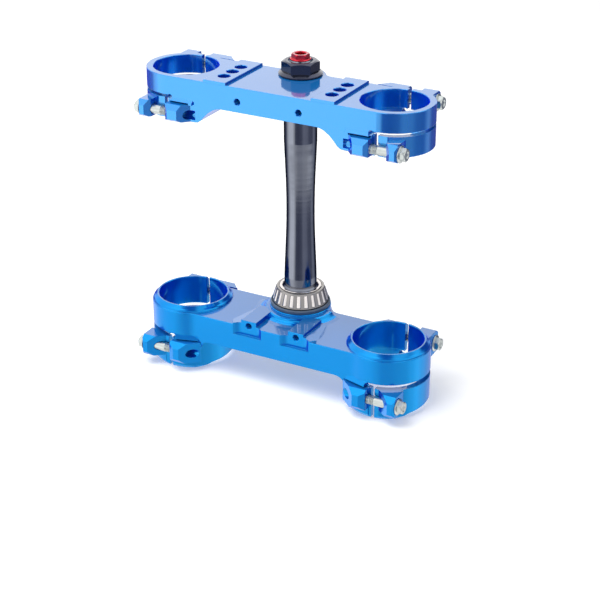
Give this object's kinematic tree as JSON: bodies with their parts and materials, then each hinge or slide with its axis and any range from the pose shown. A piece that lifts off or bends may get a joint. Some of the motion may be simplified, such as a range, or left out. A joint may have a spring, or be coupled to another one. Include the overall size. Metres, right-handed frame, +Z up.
{
  "type": "motorcycle triple clamp",
  "caption": "Two split-ring fork clamps on a hollow steering stem with a taper roller bearing, for holding a motorcycle's fork tubes and handlebar.",
  "frame": {"origin": "on the steering axis at the stem's lower end", "axes": "+Z up along the steering stem, -Y towards the front of the motorcycle, +X to the right of the front view"},
  "size_m": [0.2584, 0.0931, 0.279],
  "materials": {
    "blue_anodised": "glossy blue anodised, flat faces pale with reflections",
    "dark_steel": "turned, dark oxide",
    "black_steel": "black oxide, semi-gloss",
    "red_anodised": "glossy red anodised",
    "bolt_steel": "zinc plated, bright",
    "bearing_steel": "ground and polished",
    "cage_steel": "pressed steel, satin",
    "seal_rubber": "smooth, dark grey"
  },
  "bodies": {
    "yoke": {"upper_clamp": "blue_anodised", "lower_clamp": "blue_anodised", "steering_stem": "dark_steel", "stem_nut": "black_steel", "stem_plug": "red_anodised", "bearing_inner_race": "bearing_steel", "bearing_seal": "seal_rubber", "upper_front_bolt_right": "bolt_steel", "upper_front_bolt_left": "bolt_steel", "upper_rear_bolt_right": "bolt_steel", "upper_rear_bolt_left": "bolt_steel", "lower_front_bolt_right": "bolt_steel", "lower_front_bolt_left": "bolt_steel", "lower_rear_bolt_right": "bolt_steel", "lower_rear_bolt_left": "bolt_steel"},
    "cage": {"bearing_cage": "cage_steel"},
    "roller_01": {"bearing_roller_01": "bearing_steel"},
    "roller_02": {"bearing_roller_02": "bearing_steel"},
    "roller_03": {"bearing_roller_03": "bearing_steel"},
    "roller_04": {"bearing_roller_04": "bearing_steel"},
    "roller_05": {"bearing_roller_05": "bearing_steel"},
    "roller_06": {"bearing_roller_06": "bearing_steel"},
    "roller_07": {"bearing_roller_07": "bearing_steel"},
    "roller_08": {"bearing_roller_08": "bearing_steel"},
    "roller_09": {"bearing_roller_09": "bearing_steel"},
    "roller_10": {"bearing_roller_10": "bearing_steel"},
    "roller_11": {"bearing_roller_11": "bearing_steel"},
    "roller_12": {"bearing_roller_12": "bearing_steel"},
    "roller_13": {"bearing_roller_13": "bearing_steel"},
    "roller_14": {"bearing_roller_14": "bearing_steel"},
    "roller_15": {"bearing_roller_15": "bearing_steel"},
    "roller_16": {"bearing_roller_16": "bearing_steel"},
    "roller_17": {"bearing_roller_17": "bearing_steel"},
    "roller_18": {"bearing_roller_18": "bearing_steel"},
    "roller_19": {"bearing_roller_19": "bearing_steel"},
    "roller_20": {"bearing_roller_20": "bearing_steel"},
    "roller_21": {"bearing_roller_21": "bearing_steel"},
    "roller_22": {"bearing_roller_22": "bearing_steel"}
  },
  "joints": [
    {"name": "cage_spin", "type": "hinge", "parent": "yoke", "child": "cage", "pos_m": [0, 0, 0.0415], "axis": [0, 0, 1], "continuous": true},
    {"name": "roller_01_spin", "type": "hinge", "parent": "cage", "child": "roller_01", "pos_m": [0.0204, 0, 0.04132], "axis": [-0.2588, 0, 0.9659], "continuous": true},
    {"name": "roller_02_spin", "type": "hinge", "parent": "cage", "child": "roller_02", "pos_m": [0.01958, 0.00575, 0.04132], "axis": [-0.2483, -0.0729, 0.9659], "continuous": true},
    {"name": "roller_03_spin", "type": "hinge", "parent": "cage", "child": "roller_03", "pos_m": [0.01716, 0.01103, 0.04132], "axis": [-0.2177, -0.1399, 0.9659], "continuous": true},
    {"name": "roller_04_spin", "type": "hinge", "parent": "cage", "child": "roller_04", "pos_m": [0.01336, 0.01542, 0.04132], "axis": [-0.1695, -0.1956, 0.9659], "continuous": true},
    {"name": "roller_05_spin", "type": "hinge", "parent": "cage", "child": "roller_05", "pos_m": [0.00848, 0.01856, 0.04132], "axis": [-0.1075, -0.2354, 0.9659], "continuous": true},
    {"name": "roller_06_spin", "type": "hinge", "parent": "cage", "child": "roller_06", "pos_m": [0.0029, 0.0202, 0.04132], "axis": [-0.0368, -0.2562, 0.9659], "continuous": true},
    {"name": "roller_07_spin", "type": "hinge", "parent": "cage", "child": "roller_07", "pos_m": [-0.0029, 0.0202, 0.04132], "axis": [0.0368, -0.2562, 0.9659], "continuous": true},
    {"name": "roller_08_spin", "type": "hinge", "parent": "cage", "child": "roller_08", "pos_m": [-0.00848, 0.01856, 0.04132], "axis": [0.1075, -0.2354, 0.9659], "continuous": true},
    {"name": "roller_09_spin", "type": "hinge", "parent": "cage", "child": "roller_09", "pos_m": [-0.01336, 0.01542, 0.04132], "axis": [0.1695, -0.1956, 0.9659], "continuous": true},
    {"name": "roller_10_spin", "type": "hinge", "parent": "cage", "child": "roller_10", "pos_m": [-0.01716, 0.01103, 0.04132], "axis": [0.2177, -0.1399, 0.9659], "continuous": true},
    {"name": "roller_11_spin", "type": "hinge", "parent": "cage", "child": "roller_11", "pos_m": [-0.01958, 0.00575, 0.04132], "axis": [0.2483, -0.0729, 0.9659], "continuous": true},
    {"name": "roller_12_spin", "type": "hinge", "parent": "cage", "child": "roller_12", "pos_m": [-0.0204, 0, 0.04132], "axis": [0.2588, 0, 0.9659], "continuous": true},
    {"name": "roller_13_spin", "type": "hinge", "parent": "cage", "child": "roller_13", "pos_m": [-0.01958, -0.00575, 0.04132], "axis": [0.2483, 0.0729, 0.9659], "continuous": true},
    {"name": "roller_14_spin", "type": "hinge", "parent": "cage", "child": "roller_14", "pos_m": [-0.01716, -0.01103, 0.04132], "axis": [0.2177, 0.1399, 0.9659], "continuous": true},
    {"name": "roller_15_spin", "type": "hinge", "parent": "cage", "child": "roller_15", "pos_m": [-0.01336, -0.01542, 0.04132], "axis": [0.1695, 0.1956, 0.9659], "continuous": true},
    {"name": "roller_16_spin", "type": "hinge", "parent": "cage", "child": "roller_16", "pos_m": [-0.00848, -0.01856, 0.04132], "axis": [0.1075, 0.2354, 0.9659], "continuous": true},
    {"name": "roller_17_spin", "type": "hinge", "parent": "cage", "child": "roller_17", "pos_m": [-0.0029, -0.0202, 0.04132], "axis": [0.0368, 0.2562, 0.9659], "continuous": true},
    {"name": "roller_18_spin", "type": "hinge", "parent": "cage", "child": "roller_18", "pos_m": [0.0029, -0.0202, 0.04132], "axis": [-0.0368, 0.2562, 0.9659], "continuous": true},
    {"name": "roller_19_spin", "type": "hinge", "parent": "cage", "child": "roller_19", "pos_m": [0.00848, -0.01856, 0.04132], "axis": [-0.1075, 0.2354, 0.9659], "continuous": true},
    {"name": "roller_20_spin", "type": "hinge", "parent": "cage", "child": "roller_20", "pos_m": [0.01336, -0.01542, 0.04132], "axis": [-0.1695, 0.1956, 0.9659], "continuous": true},
    {"name": "roller_21_spin", "type": "hinge", "parent": "cage", "child": "roller_21", "pos_m": [0.01716, -0.01103, 0.04132], "axis": [-0.2177, 0.1399, 0.9659], "continuous": true},
    {"name": "roller_22_spin", "type": "hinge", "parent": "cage", "child": "roller_22", "pos_m": [0.01958, -0.00575, 0.04132], "axis": [-0.2483, 0.0729, 0.9659], "continuous": true}
  ],
  "couplings": [
    {"joint": "roller_01_spin", "follows": "cage_spin", "ratio": 8.52},
    {"joint": "roller_02_spin", "follows": "cage_spin", "ratio": 8.52},
    {"joint": "roller_03_spin", "follows": "cage_spin", "ratio": 8.52},
    {"joint": "roller_04_spin", "follows": "cage_spin", "ratio": 8.52},
    {"joint": "roller_05_spin", "follows": "cage_spin", "ratio": 8.52},
    {"joint": "roller_06_spin", "follows": "cage_spin", "ratio": 8.52},
    {"joint": "roller_07_spin", "follows": "cage_spin", "ratio": 8.52},
    {"joint": "roller_08_spin", "follows": "cage_spin", "ratio": 8.52},
    {"joint": "roller_09_spin", "follows": "cage_spin", "ratio": 8.52},
    {"joint": "roller_10_spin", "follows": "cage_spin", "ratio": 8.52},
    {"joint": "roller_11_spin", "follows": "cage_spin", "ratio": 8.52},
    {"joint": "roller_12_spin", "follows": "cage_spin", "ratio": 8.52},
    {"joint": "roller_13_spin", "follows": "cage_spin", "ratio": 8.52},
    {"joint": "roller_14_spin", "follows": "cage_spin", "ratio": 8.52},
    {"joint": "roller_15_spin", "follows": "cage_spin", "ratio": 8.52},
    {"joint": "roller_16_spin", "follows": "cage_spin", "ratio": 8.52},
    {"joint": "roller_17_spin", "follows": "cage_spin", "ratio": 8.52},
    {"joint": "roller_18_spin", "follows": "cage_spin", "ratio": 8.52},
    {"joint": "roller_19_spin", "follows": "cage_spin", "ratio": 8.52},
    {"joint": "roller_20_spin", "follows": "cage_spin", "ratio": 8.52},
    {"joint": "roller_21_spin", "follows": "cage_spin", "ratio": 8.52},
    {"joint": "roller_22_spin", "follows": "cage_spin", "ratio": 8.52}
  ]
}
